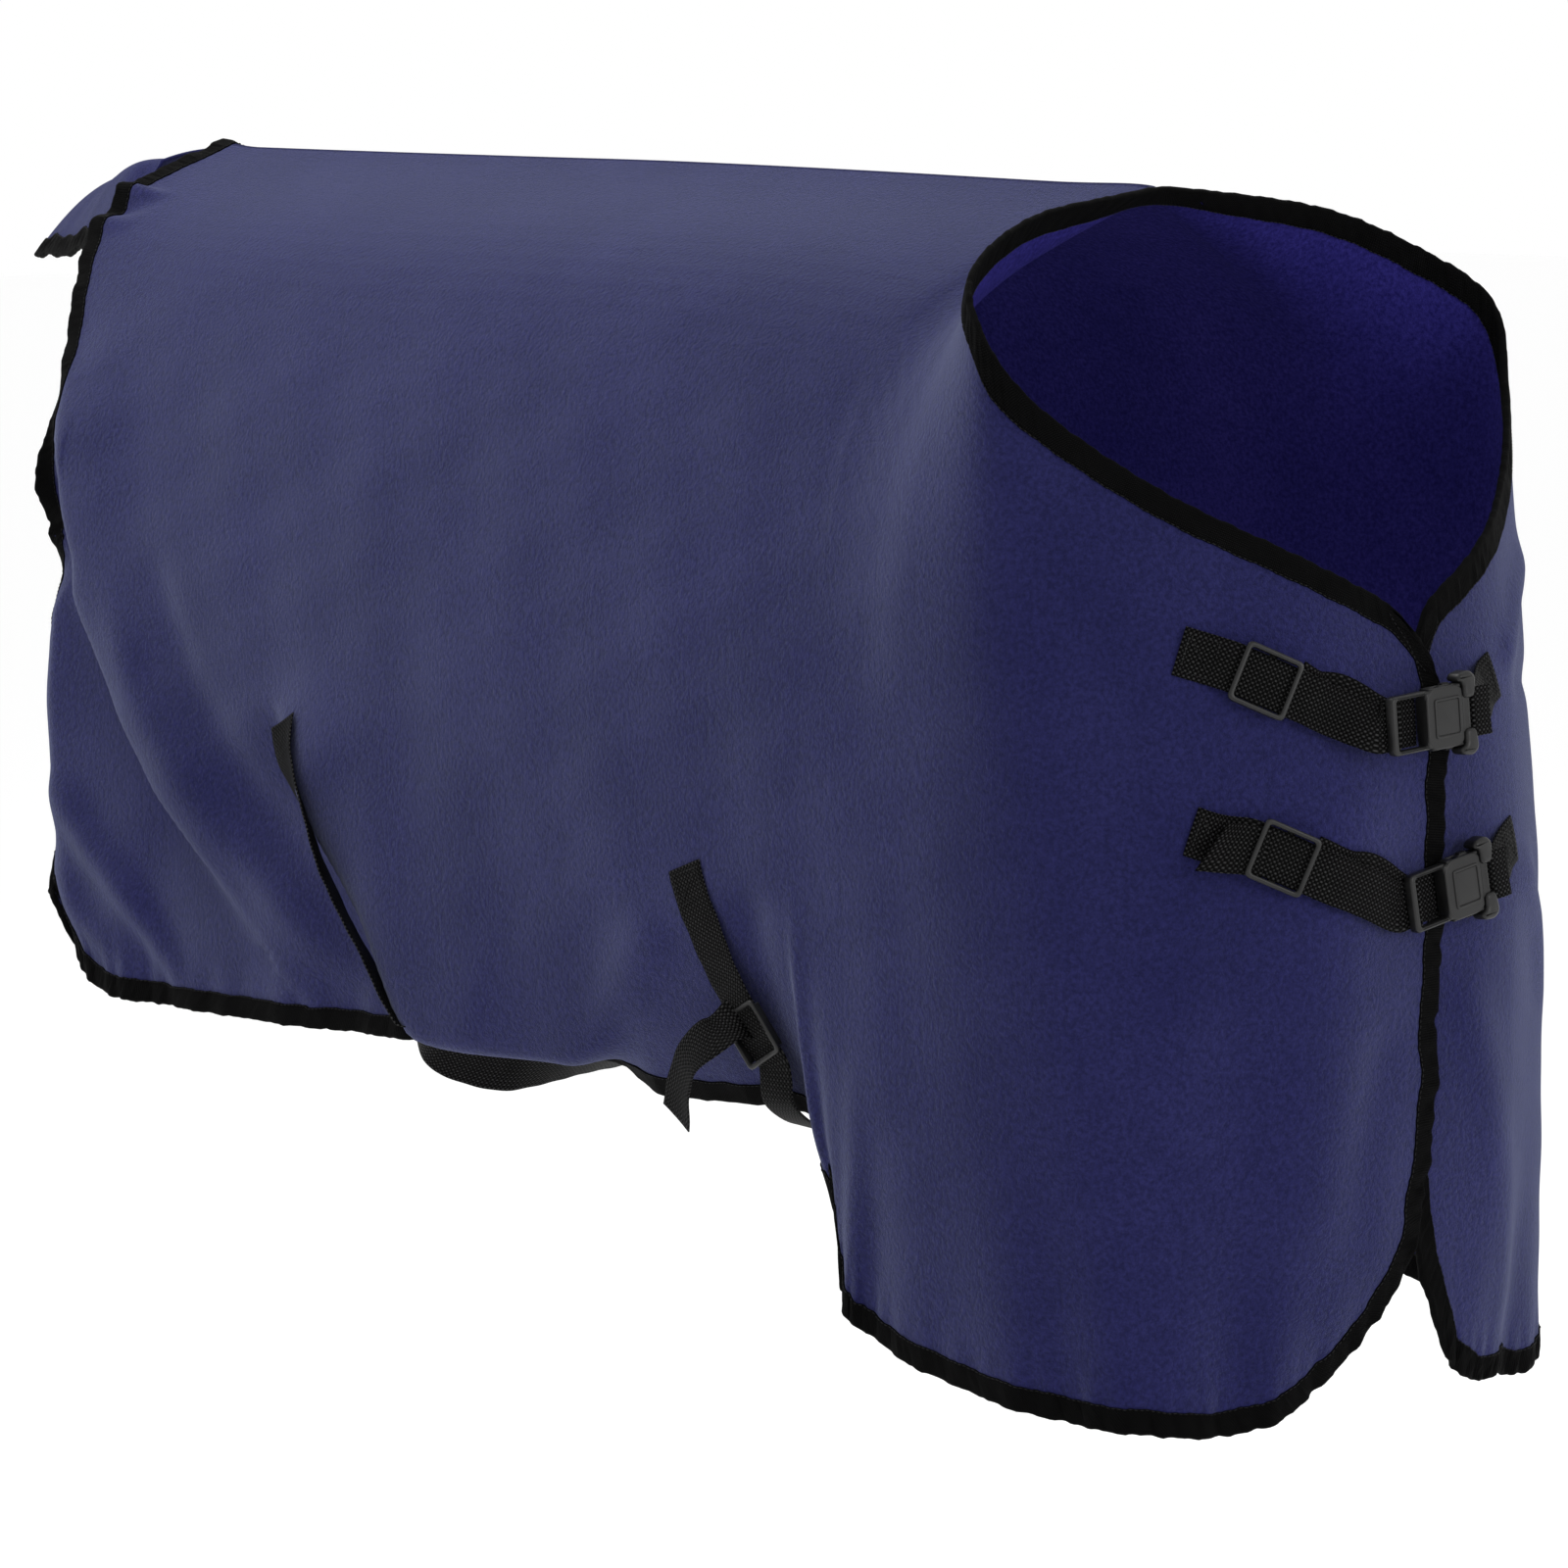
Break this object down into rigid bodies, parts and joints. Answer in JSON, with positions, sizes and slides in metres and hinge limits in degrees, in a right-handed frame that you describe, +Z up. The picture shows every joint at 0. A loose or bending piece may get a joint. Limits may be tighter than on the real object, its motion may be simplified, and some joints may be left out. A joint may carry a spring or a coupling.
{
  "type": "horse rug",
  "caption": "Fleece turnout rug in its worn shape: two side panels, bound edges, tail flap, buckled chest straps and belly surcingles.",
  "frame": {"origin": "on the underside of the back seam at the withers, where the rug rests on the horse", "axes": "+X towards the horse's chest, +Z up, -Y the horse's right side"},
  "size_m": [1.9766, 0.679, 0.996],
  "materials": {
    "fleece": "short brushed fleece pile, matt",
    "binding_tape": "woven tape folded over the edge",
    "webbing": "ribbed polypropylene webbing",
    "buckle_plastic": "satin moulded plastic"
  },
  "bodies": {
    "rug": {"right_side_panel": "fleece", "right_front_binding": "binding_tape", "right_hem_binding": "binding_tape", "right_rear_binding": "binding_tape", "left_side_panel": "fleece", "left_front_binding": "binding_tape", "left_hem_binding": "binding_tape", "left_rear_binding": "binding_tape", "neck_binding": "binding_tape", "croup_binding": "binding_tape", "upper_chest_female_buckle": "buckle_plastic", "upper_chest_male_buckle": "buckle_plastic", "upper_chest_strap": "webbing", "upper_chest_tab": "webbing", "lower_chest_female_buckle": "buckle_plastic", "lower_chest_male_buckle": "buckle_plastic", "lower_chest_strap": "webbing", "lower_chest_tab": "webbing", "front_surcingle_female_buckle": "buckle_plastic", "front_surcingle_male_buckle": "buckle_plastic", "front_surcingle": "webbing", "front_surcingle_anchor": "webbing", "front_surcingle_tail": "webbing", "rear_surcingle_female_buckle": "buckle_plastic", "rear_surcingle_male_buckle": "buckle_plastic", "rear_surcingle": "webbing", "rear_surcingle_anchor": "webbing"},
    "tail_flap": {"tail_flap": "fleece", "tail_flap_binding": "binding_tape"},
    "upper_chest_prong_a": {"upper_chest_prong_a": "buckle_plastic"},
    "upper_chest_prong_b": {"upper_chest_prong_b": "buckle_plastic"},
    "upper_chest_slide": {"upper_chest_slide": "buckle_plastic"},
    "lower_chest_prong_a": {"lower_chest_prong_a": "buckle_plastic"},
    "lower_chest_prong_b": {"lower_chest_prong_b": "buckle_plastic"},
    "lower_chest_slide": {"lower_chest_slide": "buckle_plastic"},
    "front_surcingle_prong_a": {"front_surcingle_prong_a": "buckle_plastic"},
    "front_surcingle_prong_b": {"front_surcingle_prong_b": "buckle_plastic"},
    "front_surcingle_slide": {"front_surcingle_slide": "buckle_plastic"},
    "rear_surcingle_prong_a": {"rear_surcingle_prong_a": "buckle_plastic"},
    "rear_surcingle_prong_b": {"rear_surcingle_prong_b": "buckle_plastic"}
  },
  "joints": [
    {"name": "tail_flap_lift", "type": "hinge", "parent": "rug", "child": "tail_flap", "pos_m": [-1.285, 0, 0.007], "axis": [0, 1, 0], "range_deg": [0, 60]},
    {"name": "upper_chest_squeeze_a", "type": "hinge", "parent": "rug", "child": "upper_chest_prong_a", "pos_m": [0.32747, 0.01251, -0.39493], "axis": [0.9983, 0.03, 0.0499], "range_deg": [0, 8], "stiffness_Nm_per_rad": 0.4},
    {"name": "upper_chest_squeeze_b", "type": "hinge", "parent": "rug", "child": "upper_chest_prong_b", "pos_m": [0.32899, 0.01439, -0.42633], "axis": [0.9983, 0.03, 0.0499], "range_deg": [-8, 0], "stiffness_Nm_per_rad": 0.4},
    {"name": "lower_chest_squeeze_a", "type": "hinge", "parent": "rug", "child": "lower_chest_prong_a", "pos_m": [0.32342, 0.04071, -0.53179], "axis": [0.9983, 0.03, 0.0499], "range_deg": [0, 8], "stiffness_Nm_per_rad": 0.4},
    {"name": "lower_chest_squeeze_b", "type": "hinge", "parent": "rug", "child": "lower_chest_prong_b", "pos_m": [0.32482, 0.04568, -0.56287], "axis": [0.9983, 0.03, 0.0499], "range_deg": [-8, 0], "stiffness_Nm_per_rad": 0.4},
    {"name": "front_surcingle_squeeze_a", "type": "hinge", "parent": "rug", "child": "front_surcingle_prong_a", "pos_m": [-0.19234, 0.31612, -0.62598], "axis": [0.0324, 0.9969, -0.0722], "range_deg": [0, 8], "stiffness_Nm_per_rad": 0.4},
    {"name": "front_surcingle_squeeze_b", "type": "hinge", "parent": "rug", "child": "front_surcingle_prong_b", "pos_m": [-0.16108, 0.31537, -0.62223], "axis": [0.0324, 0.9969, -0.0722], "range_deg": [-8, 0], "stiffness_Nm_per_rad": 0.4},
    {"name": "rear_surcingle_squeeze_a", "type": "hinge", "parent": "rug", "child": "rear_surcingle_prong_a", "pos_m": [-0.56226, 0.32344, -0.62341], "axis": [-0.0072, 0.9994, -0.035], "range_deg": [0, 8], "stiffness_Nm_per_rad": 0.4},
    {"name": "rear_surcingle_squeeze_b", "type": "hinge", "parent": "rug", "child": "rear_surcingle_prong_b", "pos_m": [-0.53077, 0.32364, -0.62417], "axis": [-0.0072, 0.9994, -0.035], "range_deg": [-8, 0], "stiffness_Nm_per_rad": 0.4},
    {"name": "upper_chest_adjust", "type": "slide", "parent": "rug", "child": "upper_chest_slide", "axis": [0.498, 0.7666, -0.4054], "range_m": [-0.006, 0.006]},
    {"name": "lower_chest_adjust", "type": "slide", "parent": "rug", "child": "lower_chest_slide", "axis": [0.4748, 0.7813, -0.405], "range_m": [-0.006, 0.006]},
    {"name": "front_surcingle_adjust", "type": "slide", "parent": "rug", "child": "front_surcingle_slide", "axis": [-0.4774, -0.2521, 0.8417], "range_m": [-0.006, 0.006]}
  ],
  "couplings": [
    {"joint": "upper_chest_squeeze_b", "follows": "upper_chest_squeeze_a", "ratio": -1},
    {"joint": "lower_chest_squeeze_b", "follows": "lower_chest_squeeze_a", "ratio": -1},
    {"joint": "front_surcingle_squeeze_b", "follows": "front_surcingle_squeeze_a", "ratio": -1},
    {"joint": "rear_surcingle_squeeze_b", "follows": "rear_surcingle_squeeze_a", "ratio": -1}
  ]
}
